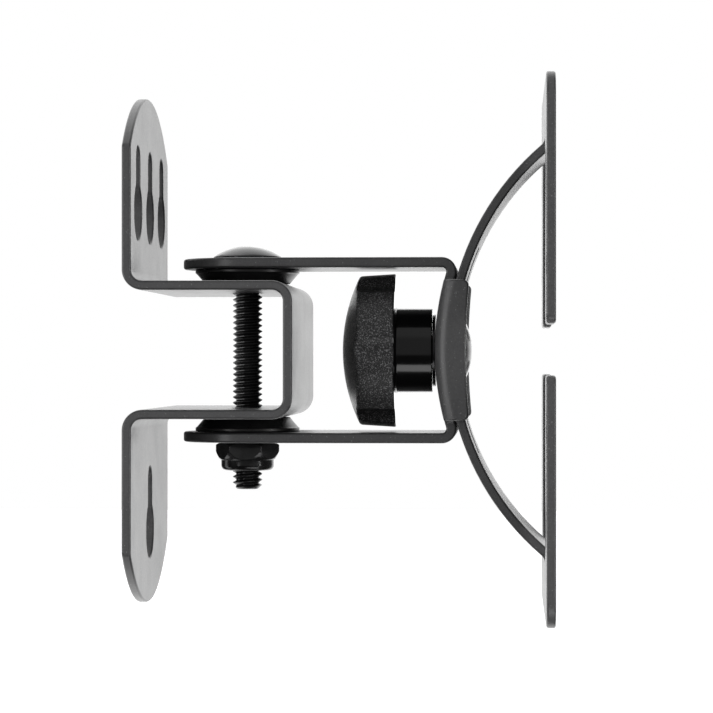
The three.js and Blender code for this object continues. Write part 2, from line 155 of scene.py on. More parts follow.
NUT_ACROSS_FLATS = 12.5
NUT_HEX_HEIGHT = 4.0
NUT_UNDER_CURVE = 1.6
NUT_CORNER_TRIM = 0.12
NUT_CHAMFER = 30.0
NUT_COLLAR_R = 5.9
NUT_COLLAR_ROUND = 1.2
NUT_FLOOR = 0.1

KNOB_R = 17.0
KNOB_FRONT_R = 16.5
KNOB_SAG = 3.9
KNOB_WIDTH = 11.9
KNOB_EDGE_R = 0.9
HUB_R = 9.35
FLUTES = 6
FLUTE_R = 4.6
FLUTE_DEPTH = 1.5
FLUTE_BLEND = 0.12
BOLT_END_ROOM = 2.2


# ---- closed outlines in a plane -----------------------------------------------------------------


def turn_corner(corner, before, after, radius, step):
    """Points and outward normals of the arc that rounds a corner off."""
    back = (before - corner).normalized()
    ahead = (after - corner).normalized()
    half = back.angle(ahead) / 2
    centre = corner + (back + ahead).normalized() * (radius / math.sin(half))
    start = Vector((-back.y, back.x))
    end = Vector((ahead.y, -ahead.x))
    side = 1 if start.dot(centre - corner) < 0 else -1
    turn = math.pi - 2 * half
    count = max(3, math.ceil(math.degrees(turn) / step))
    points = []
    for i in range(count + 1):
        angle = side * turn * i / count
        normal = Vector(
            (
                start.x * math.cos(angle) - start.y * math.sin(angle),
                start.x * math.sin(angle) + start.y * math.cos(angle),
            )
        )
        points.append((centre + normal * radius * side, normal))
    return points


def outline(corners, step=12.0):
    """(point, outward normal) round a closed line from (x, y, radius) corners, anticlockwise.

    A corner of radius 0 is a point on a smooth curve. A hole is listed clockwise.
    """
    spots = [Vector((x, y)) for x, y, _ in corners]
    line = []
    for i, (spot, corner) in enumerate(zip(spots, corners)):
        before, after = spots[i - 1], spots[(i + 1) % len(spots)]
        if corner[2]:
            line += turn_corner(spot, before, after, corner[2], step)
            continue
        arriving, leaving = (spot - before).normalized(), (after - spot).normalized()
        along = (arriving + leaving).normalized()
        line.append((spot, Vector((along.y, -along.x))))
    return line


def arc(x, y, radius, start, end, step, ends=True):
    """Corners of radius 0 along an arc, in degrees, with or without its two end points."""
    count = max(4, math.ceil(abs(end - start) / step))
    skip = 0 if ends else 1
    points = []
    for i in range(skip, count + 1 - skip):
        angle = math.radians(start + (end - start) * i / count)
        points.append((x + radius * math.cos(angle), y + radius * math.sin(angle), 0))
    return points


def round_hole(x, y, radius, sides=48):
    """A round hole, clockwise."""
    hole = []
    for i in range(sides):
        angle = -2 * math.pi * i / sides
        ray = Vector((math.cos(angle), math.sin(angle)))
        hole.append((Vector((x, y)) + ray * radius, -ray))
    return hole


def mirrored(corners):
    """Corners followed by their mirror image across the Y = 0 line, in the order that closes them."""
    return corners + [(x, -y, radius) for x, y, radius in reversed(corners)]


# ---- sheet metal: a flat blank, then its bends --------------------------------------------------


def blank(edge, holes, thickness=SHEET):
    """A flat plate with rounded edges as a bmesh, centred on Z = 0.

    Layer n keeps each point's normal, and layer edge says how far round an edge it lies.
    """
    bm = bmesh.new()
    normals = bm.verts.layers.float_vector.new("n")
    roundness = bm.verts.layers.float.new("edge")
    half = thickness / 2
    loops = []
    for k, line in enumerate([edge, *holes]):
        radius = HOLE_EDGE_R if k else SHEET_EDGE_R
        rows = []
        for quarter, level in ((0, half - radius), (1, radius - half)):
            for i in range(4):
                lift = math.radians(90 - 90 * quarter - 30 * i)
                row = []
                for point, normal in line:
                    flat = point - normal * radius * (1 - math.cos(lift))
                    v = bm.verts.new((flat.x, flat.y, level + radius * math.sin(lift)))
                    out = normal * math.cos(lift)
                    v[normals] = (out.x, out.y, math.sin(lift))
                    v[roundness] = abs(math.sin(2 * lift))
                    row.append(v)
                rows.append(row)
        for upper, lower in zip(rows, rows[1:]):
            for i in range(len(line)):
                j = (i + 1) % len(line)
                bm.faces.new((upper[j], upper[i], lower[i], lower[j]))
        loops.append((rows[0], rows[-1]))
    flat_loops = [[Vector((v.co.x, v.co.y, 0)) for v in top] for top, _ in loops]
    tops = [v for top, _ in loops for v in top]
    bottoms = [v for _, bottom in loops for v in bottom]
    for a, b, c in tessellate_polygon(flat_loops):
        p, q, r = tops[a].co, tops[b].co, tops[c].co
        if (q - p).cross(r - p).z < 0:
            a, b, c = c, b, a
        bm.faces.new((tops[a], tops[b], tops[c]))
        bm.faces.new((bottoms[c], bottoms[b], bottoms[a]))
    return bm


def cut_across(bm, places, axis, where=lambda centre: True):
    """Cuts faces at each place along an axis, so that they can bend there."""
    direction = Vector((axis == 0, axis == 1, 0))
    for place in places:
        faces = [
            f
            for f in bm.faces
            if min(v.co[axis] for v in f.verts) < place < max(v.co[axis] for v in f.verts)
            and where(f.calc_center_median())
        ]
        edges = {e for f in faces for e in f.edges}
        verts = {v for f in faces for v in f.verts}
        bmesh.ops.bisect_plane(
            bm,
            geom=[*verts, *edges, *faces],
            dist=1e-4,
            plane_co=direction * place,
            plane_no=direction,
        )


def path(x, z, heading, steps):
    """The centre line of a bent strip in the XZ plane from (length, turn in degrees) steps.

    Each mark is (length so far, x, z, heading, curvature); a turn to the left is positive.
    """
    marks, done, angle = [], 0.0, math.radians(heading)
    for length, turn in steps:
        marks.append((done, x, z, angle, math.radians(turn) / length))
        x, z, angle = ahead_of(marks[-1], length)
        done += length
    marks.append((done, x, z, angle, 0.0))
    return marks


def ahead_of(mark, distance):
    """Where the line is, and where it heads, some way past a mark."""
    _, x, z, angle, bend = mark
    if not bend:
        return x + distance * math.cos(angle), z + distance * math.sin(angle), angle
    end = angle + bend * distance
    return (
        x + (math.sin(end) - math.sin(angle)) / bend,
        z - (math.cos(end) - math.cos(angle)) / bend,
        end,
    )


def bend_places(marks, step):
    """Where a strip's bends need cuts, about every step degrees."""
    places = []
    for mark, following in zip(marks, marks[1:]):
        length = following[0] - mark[0]
        count = math.ceil(math.degrees(abs(mark[4]) * length) / step)
        if count:
            places += [mark[0] + length * i / count for i in range(count + 1)]
    return places


def follow(marks, point, normal):
    """Where a point of the blank, and its normal, go when the strip is bent along its path."""
    mark = [m for m in marks if m[0] <= point.x + 1e-6 or m is marks[0]][-1]
    x, z, angle = ahead_of(mark, point.x - mark[0])
    ahead = Vector((math.cos(angle), 0, math.sin(angle)))
    left = Vector((-math.sin(angle), 0, math.cos(angle)))
    return (
        Vector((x, point.y, z)) + left * point.z,
        ahead * normal.x + Vector((0, normal.y, 0)) + left * normal.z,
    )


# ---- solids round an axis -----------------------------------------------------------------------


def revolve(bm, rings):
    """Joins rings of equal length into a closed skin; a ring of one point closes an end."""
    for low, high in zip(rings, rings[1:]):
        count = max(len(low), len(high))
        for i in range(count):
            j = (i + 1) % count
            corners = [low[i % len(low)], low[j % len(low)], high[j % len(high)], high[i % len(high)]]
            kept = [v for k, v in enumerate(corners) if v is not corners[k - 1]]
            if len(kept) > 2:
                bm.faces.new(kept)


def turned(bm, corners, sides=64, step=15.0):
    """A solid of revolution about Z from (radius, height, rounding) corners, anticlockwise."""
    normals = bm.verts.layers.float_vector["n"]
    line = outline(corners, step)
    rings = []
    for point, normal in line:
        ring = []
        on_axis = point.x < 1e-6
        for i in range(1 if on_axis else sides):
            angle = 2 * math.pi * i / sides
            ray = Vector((math.cos(angle), math.sin(angle), 0))
            v = bm.verts.new((ray.x * point.x, ray.y * point.x, point.y))
            if on_axis:
                v[normals] = (0, 0, 1 if normal.y > 0 else -1)
            else:
                v[normals] = (ray.x * normal.x, ray.y * normal.x, normal.y)
            ring.append(v)
        rings.append(ring)
    if len(rings[0]) > 1 or len(rings[-1]) > 1:
        rings.append(rings[0])
    revolve(bm, rings)


def solid():
    bm = bmesh.new()
    bm.verts.layers.float_vector.new("n")
    bm.verts.layers.float.new("edge")
    return bm


def finish(bm, name, body, node, material, warp=None, matrix=None, sharp=None):
    """Makes the piece: bends it, scales it to metres, and hands it to its body."""
    layer = bm.verts.layers.float_vector["n"]
    normals = []
    for v in bm.verts:
        normal = Vector(v[layer])
        point = v.co.copy()
        if warp:
            point, normal = warp(point, normal)
        if matrix:
            point, normal = matrix @ point, matrix.to_3x3() @ normal
        v.co = point * MM
        normals.append(normal.normalized())
    bm.verts.layers.float_vector.remove(layer)
    bm.normal_update()
    mesh = bpy.data.meshes.new(name)
    bm.to_mesh(mesh)
    bm.free()
    mesh.shade_smooth()
    if sharp:
        mesh.set_sharp_from_angle(angle=math.radians(sharp))
    else:
        mesh.normals_split_custom_set_from_vertices(normals)
    piece = bpy.data.objects.new(name, mesh)
    bpy.context.scene.collection.objects.link(piece)
    piece.data.materials.append(material)
    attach(piece, body)
    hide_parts(node)
    return piece


# ---- wall plate ---------------------------------------------------------------------------------


def keyhole(s, y):
    """A round mouth at s with its slot above, clockwise."""
    reach = math.degrees(math.asin(KEYHOLE_SLOT_R / KEYHOLE_R))
    neck = s - KEYHOLE_R * math.cos(math.radians(reach))
    return outline(
        [
            *arc(s - KEYHOLE_DROP, y, KEYHOLE_SLOT_R, 270, 90, 12),
            (neck, y + KEYHOLE_SLOT_R, KEYHOLE_NECK_R),
            *arc(s, y, KEYHOLE_R, 180 - reach, reach - 180, 12, False),
            (neck, y - KEYHOLE_SLOT_R, KEYHOLE_NECK_R),
        ]
    )


def build_wall_plate(material):
    """The blank runs from the top ear's tip (s = 0), round the box, to the bottom ear's tip."""
    top, half, line = WALL_HIGH.z, WALL_HIGH.y, SHEET / 2
    quarter = BEND_R * math.pi / 2
    ear = top - (BOX_HALF_HEIGHT - line) - BEND_R
    flange = WALL_HIGH.x - SHEET - 2 * BEND_R
    web = 2 * (BOX_HALF_HEIGHT - line - BEND_R)
    steps = [(ear, 0), (quarter, 90), (flange, 0), (quarter, -90)]
    marks = path(WALL_LOW.x + line, top, -90, steps + [(web, 0)] + steps[::-1])
    length = marks[-1][0]
    rise = math.degrees(math.asin(half / WALL_END_R))
    shoulder = WALL_END_R * (1 - math.cos(math.radians(rise)))
    edge = outline(
        [
            (shoulder, half, WALL_SHOULDER_R),
            *arc(WALL_END_R, 0, WALL_END_R, 180 - rise, 180 + rise, 2.5, False),
            (shoulder, -half, WALL_SHOULDER_R),
            (length - shoulder, -half, WALL_SHOULDER_R),
            *arc(length - WALL_END_R, 0, WALL_END_R, -rise, rise, 2.5, False),
            (length - shoulder, half, WALL_SHOULDER_R),
        ]
    )
    pivot = ear + quarter + PIVOT_X - line - BEND_R
    holes = [keyhole(top - UPPER_KEYHOLE_Z, y * KEYHOLE_PITCH) for y in (-1, 0, 1)]
    holes.append(keyhole(length - top - LOWER_KEYHOLE_Z, 0))
    holes += [round_hole(s, 0, BOLT_HOLE_R) for s in (pivot, length - pivot)]
    bm = blank(edge, holes)
    cut_across(bm, bend_places(marks, 5), 0)
    return finish(
        bm,
        "wall_plate_sheet",
        "wall",
        "wall_plate",
        material,
        warp=lambda point, normal: follow(marks, point, normal),
    )


# ---- swivel arm ---------------------------------------------------------------------------------


def fold_sides(point, normal, start):
    """Bends what lies beyond |y| = start forward by a right angle, on CHANNEL_BEND_R."""
    side = 1 if point.y > 0 else -1
    reach = abs(point.y) - start
    if reach <= 0:
        return point, normal
    angle = min(reach / CHANNEL_BEND_R, math.pi / 2)
    rest = reach - CHANNEL_BEND_R * angle
    c, s = math.cos(angle), math.sin(angle)
    inner = CHANNEL_BEND_R - point.z
    out = normal.y * side
    return (
        Vector((point.x, side * (start + inner * s), CHANNEL_BEND_R - inner * c + rest)),
        Vector((normal.x, side * (out * c - normal.z * s), out * s + normal.z * c)),
    )


def channel_quarter(middle, web_r, fold_y):
    """A quarter of the arm's blank: the channel's side, its end, and the strip."""
    front = TILT_X - ARM_HIGH.x
    flat_y = fold_y + CHANNEL_BEND_R * (math.pi / 2 - 1)
    tip = math.atan2(CHANNEL_HALF_HEIGHT, front)

    def front_edge(angle):
        hollow = CHANNEL_FRONT_SAG * (1 - (math.tan(angle) / math.tan(tip)) ** 2)
        return middle - web_r * angle, flat_y + web_r - (front + hollow) / math.cos(angle)

    def end_edge(depth, y):
        return middle - web_r * math.asin(CHANNEL_HALF_HEIGHT / (web_r - depth)), y, 0

    quarter = [(*front_edge(tip * i / 8), 0) for i in range(8)]
    quarter.append((*front_edge(tip), CHANNEL_CORNER_R))
    for turn in (90, 60, 30, 0):
        lift = math.radians(turn)
        depth = CHANNEL_BEND_R * (1 - math.cos(lift))
        quarter.append(end_edge(depth, fold_y + CHANNEL_BEND_R * lift))
    quarter.append((*end_edge(0, ARM_HALF_WIDTH)[:2], CHANNEL_ROOT_R))
    return quarter + arc(ARM_HALF_WIDTH, 0, ARM_HALF_WIDTH, 90, 180, 4)


def build_swivel_arm(material):
    """The blank runs from the upper pivot's end (s = 0) round the web to the lower pivot's end."""
    lean = math.radians(WEB_HALF_ANGLE)
    web_r = TILT_X - SCREEN_LOW.x + BAND_GAP + ARM_SHEET / 2
    strip_z = ARM_HIGH.z - ARM_SHEET / 2
    bend_r = (strip_z - web_r * math.sin(lean)) / (1 + math.sin(lean))
    start_x = PIVOT_X - ARM_HALF_WIDTH
    run = TILT_X - (web_r + bend_r) * math.cos(lean) - start_x
    turn = 90 + WEB_HALF_ANGLE
    bend, web = bend_r * math.radians(turn), 2 * web_r * lean
    steps = [(run, 0), (bend, -turn), (web, 2 * WEB_HALF_ANGLE), (bend, -turn), (run, 0)]
    marks = path(start_x, strip_z, 0, steps)
    length = marks[-1][0]
    middle = length / 2

    fold_y = ARM_HIGH.y - ARM_SHEET / 2 - CHANNEL_BEND_R
    quarter = channel_quarter(middle, web_r, fold_y)
    half = quarter + [(s, -y, r) for s, y, r in quarter[-2::-1]]
    edge = outline(half[:-1] + [(length - s, -y, r) for s, y, r in half[:-1]])
    square = SQUARE_HOLE / 2
    corners = [(-1, -1), (-1, 1), (1, 1), (1, -1)]
    holes = [
        outline([(ARM_HALF_WIDTH + square * a, square * b, 0.5) for a, b in corners]),
        round_hole(length - ARM_HALF_WIDTH, 0, BOLT_HOLE_R),
        round_hole(middle, 0, BOLT_HOLE_R),
    ]
    bm = blank(edge, holes, ARM_SHEET)
    cut_across(bm, bend_places(marks, 2), 0)
    folds = [fold_y + CHANNEL_BEND_R * math.radians(10 * i) for i in range(10)]
    cut_across(bm, folds + [-y for y in folds], 1)

    def warp(point, normal):
        return follow(marks, *fold_sides(point, normal, fold_y))

    return finish(bm, "swivel_arm_sheet", "arm", "swivel_arm", material, warp)


# ---- screen bracket -----------------------------------------------------------------------------


def build_screen_bracket(material):
    """The blank runs from the top crossbar's edge (s = 0) down the band to the bottom one's."""
    top, half = SCREEN_HIGH.z, SCREEN_HIGH.y
    plate_x = SCREEN_HIGH.x - SHEET / 2
    band_r = TILT_X - SCREEN_LOW.x - SHEET / 2
    back = TILT_X - plate_x + BEND_R
    bend_z = math.sqrt((band_r + BEND_R) ** 2 - back**2)
    lean = math.asin(bend_z / (band_r + BEND_R))
    degrees = math.degrees(lean)
    steps = [
        (top - bend_z, 0),
        (BEND_R * lean, -degrees),
        (2 * band_r * lean, 2 * degrees),
        (BEND_R * lean, -degrees),
        (top - bend_z, 0),
    ]
    marks = path(plate_x, top, -90, steps)
    length = marks[-1][0]
    middle = length / 2
    slit_r = (LEG_INNER_Y - BAND_HALF_WIDTH) / 2 - 0.01
    quarter = [
        (top - SLIT_ROOT_Z, BAND_HALF_WIDTH, slit_r),
        (top - SLIT_ROOT_Z, LEG_INNER_Y, slit_r),
        (top - LEG_END_Z, LEG_INNER_Y, LEG_CORNER_R),
        (top - LEG_END_Z, half, LEG_CORNER_R),
        (0, half, SCREEN_CORNER_R),
    ]
    edge = mirrored(quarter)
    edge = outline(edge + [(length - s, -y, r) for s, y, r in edge], 7.5)
    reach = band_r * math.radians(SLOT_HALF_ANGLE)
    slot = [(-1, -1), (-1, 1), (1, 1), (1, -1)]
    holes = [outline([(middle + reach * a, SQUARE_HOLE / 2 * b, SLOT_CORNER_R) for a, b in slot])]
    for height in SCREW_HALF_HEIGHTS:
        for s in (top - height, length - top + height):
            holes += [round_hole(s, y, SCREW_HOLE_R) for y in (-SCREW_HALF_WIDTH, SCREW_HALF_WIDTH)]
    bm = blank(edge, holes)
    beside = (BAND_HALF_WIDTH + LEG_INNER_Y) / 2
    cut_across(bm, bend_places(marks, 2.5), 0, lambda c: abs(c.y) < beside)

    def warp(point, normal):
        if abs(point.y) < beside:
            return follow(marks, point, normal)
        z = top - point.x if point.x < middle else length - point.x - top
        return Vector((plate_x + point.z, point.y, z)), Vector((normal.z, normal.y, -normal.x))

    return finish(
        bm, "screen_bracket_sheet", "screen", "screen_bracket", material, warp
    )


# ---- bolts --------------------------------------------------------------------------------------

# One turn of thread: how far along the pitch, and how deep as a share of the full depth.
THREAD_SHAPE = ((0.0, 1.0), (0.13, 1.0), (0.49, 0.08), (0.55, 0.0), (0.65, 0.0), (0.71, 0.08))


def threaded(bm, low, high, chamfer=0.9, sides=40):
    """A rod from low to high with a right-hand helical thread, running into a chamfer below."""
    turns = math.ceil((high - low) / THREAD_PITCH) + 4
    rows = len(THREAD_SHAPE)
    columns = []
    for i in range(sides):
        angle = 2 * math.pi * i / sides
        column = []
        for k in range(turns * rows):
            along, depth = THREAD_SHAPE[k % rows]
            z = low + THREAD_PITCH * (k // rows + along + i / sides - 2)
            inside = low < z < high
            radius = BOLT_R - THREAD_DEPTH * depth
            radius = min(radius, BOLT_R - chamfer + z - low) if inside else BOLT_R - chamfer
            z = min(max(z, low), high)
            column.append(bm.verts.new((radius * math.cos(angle), radius * math.sin(angle), z)))
        columns.append(column)
    made = [v for column in columns for v in column]
    for i in range(sides):
        column, beside = columns[i], columns[(i + 1) % sides]
        shift = rows if i == sides - 1 else 0
        for k in range((turns - 1) * rows - 1):
            bm.faces.new((column[k], beside[k + shift], beside[k + shift + 1], column[k + 1]))
    bmesh.ops.remove_doubles(bm, verts=made, dist=1e-5)
    rim = [e for e in bm.edges if e.is_boundary]
    bmesh.ops.holes_fill(bm, edges=rim)
    lone = [v for v in bm.verts if not v.link_faces]
    bmesh.ops.delete(bm, geom=lone, context="VERTS")


def dome(radius, rim, height, sides=10):
    """Corners of a domed top, from its rim inwards to the axis."""
    rise = height - rim
    ball = (radius**2 + rise**2) / (2 * rise)
    reach = math.asin(radius / ball)
    corners = []
    for i in range(1, sides + 1):
        angle = reach * (1 - i / sides)
        r = ball * math.sin(angle) if i < sides else 0
        corners.append((r, height - ball * (1 - math.cos(angle)), 0))
    return corners


def bevelled_prism(bm, corners, low, high, bevel=0.2):
    """A straight prism with its two ends bevelled."""
    line = outline(corners)
    rings = []
    for inset, z in ((bevel, low), (0, low + bevel), (0, high - bevel), (bevel, high)):
        rings.append([bm.verts.new((*(p - n * inset), z)) for p, n in line])
    revolve(bm, rings)
    bm.faces.new(rings[0][::-1])
    bm.faces.new(rings[-1])


def carriage_bolt(name, node, tail, under_head, height, matrix, material):
    """Head above under_head, square neck and threaded shank below, down to tail."""
    bm = solid()
    threaded(bm, tail, under_head - NECK_LENGTH / 2)
    square = NECK / 2
    corners = [(-1, -1), (1, -1), (1, 1), (-1, 1)]
    bevelled_prism(
        bm,
        [(square * a, square * b, 0.4) for a, b in corners],
        under_head - NECK_LENGTH,
        under_head + HEAD_RIM / 2,
    )
    head = [(0, 0, 0), (HEAD_R, 0, 0.15), (HEAD_R, HEAD_RIM, 0.3), *dome(HEAD_R, HEAD_RIM, height)]
    turned(bm, [(r, under_head + z, rounding) for r, z, rounding in head])
    return finish(bm, name, "arm", node, material, matrix=matrix, sharp=50)


# ---- washers, nut and knob ----------------------------------------------------------------------

# Turns a piece that stands on Z so that its top points at the wall.
TO_WALL = Matrix.Rotation(-math.pi / 2, 4, "Y")
FROM_WALL = Matrix.Rotation(math.pi / 2, 4, "Y")


def build_cone_washer(node, flip, material):
    """A conical friction washer, wide side against the arm."""
    low, high = box(node)
    height = high.z - low.z
    bm = solid()
    turned(
        bm,
        [
            (BOLT_HOLE_R, 0, 0.25),
            (CONE_NARROW_R, 0, 0.35),
            (CONE_WIDE_R - 0.4, height - CONE_LIP - 0.3, 0.5),
            (CONE_WIDE_R, height - CONE_LIP, 0.2),
            (CONE_WIDE_R, height, 0.2),
            (BOLT_HOLE_R, height, 0.25),
        ],
    )
    stand = Matrix.Translation((PIVOT_X, 0, low.z))
    if flip:
        stand = Matrix.Translation((PIVOT_X, 0, high.z)) @ Matrix.Rotation(math.pi, 4, "X")
    return finish(bm, node + "_nylon", "arm", node, material, matrix=stand)


def lofted(bm, profile_at, sides):
    """A closed solid from its (radius, height) profile at each angle, listed anticlockwise."""
    columns = []
    for i in range(sides):
        angle = 2 * math.pi * i / sides
        columns.append([(r * math.cos(angle), r * math.sin(angle), z) for r, z in profile_at(angle)])
    rings = []
    for k, start in enumerate(columns[0]):
        on_axis = math.hypot(start[0], start[1]) < 1e-6
        rings.append([bm.verts.new(column[k]) for column in columns[: 1 if on_axis else sides]])
    if len(rings[0]) > 1:
        rings.append(rings[0])
    revolve(bm, rings)


def build_lock_nut(material):
    """A hexagon with chamfered corners, running into a collar crimped over the nylon ring."""
    flat = NUT_ACROSS_FLATS / 2
    turned_r = flat / math.cos(math.pi / 6) - NUT_CORNER_TRIM
    seat_r, slope = NUT_COLLAR_R + 0.05, math.tan(math.radians(NUT_CHAMFER))
    bottom, crimp = NUT_LOW.z - NUT_HIGH.z, RING_HIGH.y + PLAY
    shelf = -NUT_HEX_HEIGHT + NUT_FLOOR
    collar = []
    for i in range(7):
        turn = math.radians(15 * i)
        collar.append(
            (NUT_COLLAR_R - 1 + math.sin(turn), bottom + NUT_COLLAR_ROUND * (1 - math.cos(turn)))
        )

    def profile(angle):
        across = (angle % (math.pi / 3)) - math.pi / 6
        r = min(flat / math.cos(across), turned_r)
        drop = (r - seat_r) * slope
        under = []
        for share in (0.35, 0.6, 0.8, 0.92, 1.0):
            out = (r - seat_r) * share
            under.append((seat_r + out, out**1.5 * NUT_UNDER_CURVE - NUT_HEX_HEIGHT))
        return [
            (crimp - 0.35, bottom + 0.35),
            (crimp - 0.3, bottom + 0.12),
            (crimp, bottom),
            *collar,
            (NUT_COLLAR_R, -NUT_HEX_HEIGHT - 0.22),
            (seat_r, -NUT_HEX_HEIGHT),
            *under,
            (r, -drop - 0.08),
            (r - 0.03, -drop + 0.02),
            (seat_r, 0),
            (BOLT_HOLE_R + 0.3, 0),
            (BOLT_HOLE_R, -0.3),
            (BOLT_HOLE_R, shelf),
            (crimp, shelf),
            (crimp, bottom + 0.5),
        ]

    bm = solid()
    lofted(bm, profile, FINE_SIDES)
    stand = Matrix.Translation((PIVOT_X, 0, NUT_HIGH.z))
    return finish(
        bm, "lock_nut_steel", "arm", "lock_nut", material, matrix=stand, sharp=28
    )


def build_ring(name, body, node, material, rounding, matrix):
    """A plain ring or bush that fills its CAD node, standing on the axis that matrix gives it."""
    low, high = box(node)
    size = high - low
    upright = matrix is None
    length, radius = (size.z, size.x / 2) if upright else (size.x, size.y / 2)
    bm = solid()
    turned(
        bm,
        [
            (BOLT_HOLE_R, 0, rounding),
            (radius, 0, rounding),
            (radius, length, rounding),
            (BOLT_HOLE_R, length, rounding),
        ],
    )
    stand = matrix or Matrix.Translation((PIVOT_X, 0, low.z))
    if not upright:
        stand = Matrix.Translation((high.x, 0, 0)) @ stand
    return finish(bm, name, body, node, material, matrix=stand)


def soft_min(a, b, blend):
    """The lesser of two lengths, rounded where they meet."""
    near = max(blend - abs(a - b), 0) / blend
    return min(a, b) - near * near * blend / 4


def build_knob(material):
    """Fluted rim with a domed front and a hub towards the arm, heights measured from the dome."""
    front, rim = -KNOB_SAG, -KNOB_WIDTH
    length, taper = KNOB_LOW.x - KNOB_HIGH.x, KNOB_R - KNOB_FRONT_R
    pocket_r = INSERT_HIGH.z + BORE_PLAY
    pocket = KNOB_LOW.x - INSERT_LOW.x + BORE_PLAY
    bore_end = pocket + BOLT_END_ROOM
    base = outline(
        [
            (0, bore_end, 0),
            (BOLT_HOLE_R, bore_end, 0.2),
            (BOLT_HOLE_R, pocket, 0.2),
            (pocket_r, pocket, 0.2),
            (pocket_r, length, 0.3),
            (HUB_R, length, 0.15),
            (HUB_R, rim, 0.5),
            *[(HUB_R + 1.1 * i, rim, 0) for i in range(1, 6)],
            (KNOB_R, rim, 0.45),
            *[(KNOB_R - taper * i / 5, rim + (front - rim) * i / 5, 0) for i in range(1, 5)],
            (KNOB_FRONT_R, front, KNOB_EDGE_R),
            *[(r, z, 0) for r, z, _ in dome(KNOB_FRONT_R, front, 0, 16)],
        ],
        22,
    )
    base[-1] = (Vector((0, 0)), Vector((0, 1)))
    reach = KNOB_R - FLUTE_DEPTH + FLUTE_R

    def flute(angle):
        """How far out the flutes let the rim reach at an angle."""
        pitch = 2 * math.pi / FLUTES
        off = angle % pitch - pitch / 2
        inside = FLUTE_R**2 - (reach * math.sin(off)) ** 2
        return reach * math.cos(off) - math.sqrt(inside) if inside > 0 else 2 * KNOB_R

    def profile(angle):
        limit = flute(angle)
        return [
            (soft_min(p.x, limit, FLUTE_BLEND) if p.x > HUB_R + 1 else p.x, p.y) for p, _ in base
        ]

    bm = solid()
    lofted(bm, profile, FINE_SIDES)
    stand = Matrix.Translation((KNOB_LOW.x, 0, 0)) @ TO_WALL
    return finish(
        bm,
        "clamp_knob_plastic",
        "knob",
        "clamp_knob",
        material,
        matrix=stand,
        sharp=45,
    )


# ---- materials ----------------------------------------------------------------------------------


class Shader:
    """A material's node tree, with short calls for the nodes that the finishes share."""

    def __init__(self, name):
        self.material = bpy.data.materials.new(name)
        self.material.use_nodes = True
        self.tree = self.material.node_tree
        self.surface = self.tree.nodes["Principled BSDF"]
        self.place = self.add("ShaderNodeTexCoord").outputs["Object"]

    def add(self, kind, inputs=(), **settings):
        made = self.tree.nodes.new(kind)
        for key, value in settings.items():
            setattr(made, key, value)
        for key, value in dict(inputs).items():
            self.feed(made.inputs[key], value)
        return made

    def feed(self, socket, value):
        if isinstance(value, bpy.types.NodeSocket):
            self.tree.links.new(value, socket)
        else:
            socket.default_value = value

    def noise(self, scale, detail=2.0, roughness=0.5, stretch=None):
        """Noise in the object's own space, with a scale for each axis if stretch gives one."""
        place = self.place
        if stretch:
            place = self.add("ShaderNodeMapping", {"Vector": place, "Scale": stretch}).outputs[0]
        values = {"Vector": place, "Scale": scale, "Detail": detail, "Roughness": roughness}
        return self.add("ShaderNodeTexNoise", values).outputs["Fac"]

    def ramp(self, value, low, high, low_at=0.3, high_at=0.7):
        """A number from low to high as value goes from low_at to high_at."""
        values = {
            "Value": value,
            "From Min": low_at,
            "From Max": high_at,
            "To Min": low,
            "To Max": high,
        }
        return self.add("ShaderNodeMapRange", values).outputs[0]

    def blend(self, factor, first, second):
        """A colour between two colour sockets or colours."""
        mix = self.add("ShaderNodeMix", data_type="RGBA")
        self.feed(mix.inputs[0], factor)
        self.feed(mix.inputs[6], first)
        self.feed(mix.inputs[7], second)
        return mix.outputs[2]

    def combine(self, a, b, operation="ADD"):
        """Two numbers added, or multiplied."""
        made = self.add("ShaderNodeMath", operation=operation)
        self.feed(made.inputs[0], a)
        self.feed(made.inputs[1], b)
        return made.outputs[0]

    def bump(self, height, distance, strength, under=None):
        values = {"Height": height, "Distance": distance, "Strength": strength}
        made = self.add("ShaderNodeBump", values)
        if under:
            self.feed(made.inputs["Normal"], under)
        return made.outputs["Normal"]

    def finish(self, **sockets):
        for name, value in sockets.items():
            self.feed(self.surface.inputs[name.replace("_", " ")], value)
        return self.material


def grey(level):
    """A grey with a trace of blue."""
    return (level, level, level * 1.02, 1)


def powder_coat():
    """Black powder coat: fine grain and pale specks over an orange peel, with painted shade along the
    edge roundings.
    """
    shade = Shader("powder_coat_black")
    cloud = shade.noise(140, 3)
    grain = shade.noise(2600, 2)
    peel = shade.noise(620, 2)
    specks = shade.noise(2100, 1)
    # The edge layer, mottled by noise, masks painted shade along the sheet's edge roundings.
    edge = shade.add("ShaderNodeAttribute", attribute_name="edge").outputs["Fac"]
    edge = shade.combine(edge, shade.ramp(shade.noise(700, 3), 0.6, 1.0), "MULTIPLY")
    colour = shade.blend(shade.ramp(cloud, 0, 1), grey(0.070), grey(0.084))
    colour = shade.blend(shade.ramp(grain, 0, 0.35), colour, grey(0.13))
    colour = shade.blend(shade.ramp(specks, 0, 0.3, 0.7, 0.76), colour, grey(0.5))
    # Painted shade: the edge roundings are darkened towards grey 0.02 to stand in for the shade line
    # along each arris.
    colour = shade.blend(edge, colour, grey(0.02))
    roughness = shade.combine(shade.ramp(cloud, 0.32, 0.36), shade.ramp(grain, -0.03, 0.04))
    normal = shade.bump(peel, 0.00006, 0.5)
    normal = shade.bump(grain, 0.00002, 0.45, normal)
    return shade.finish(Base_Color=colour, Roughness=roughness, Normal=normal)


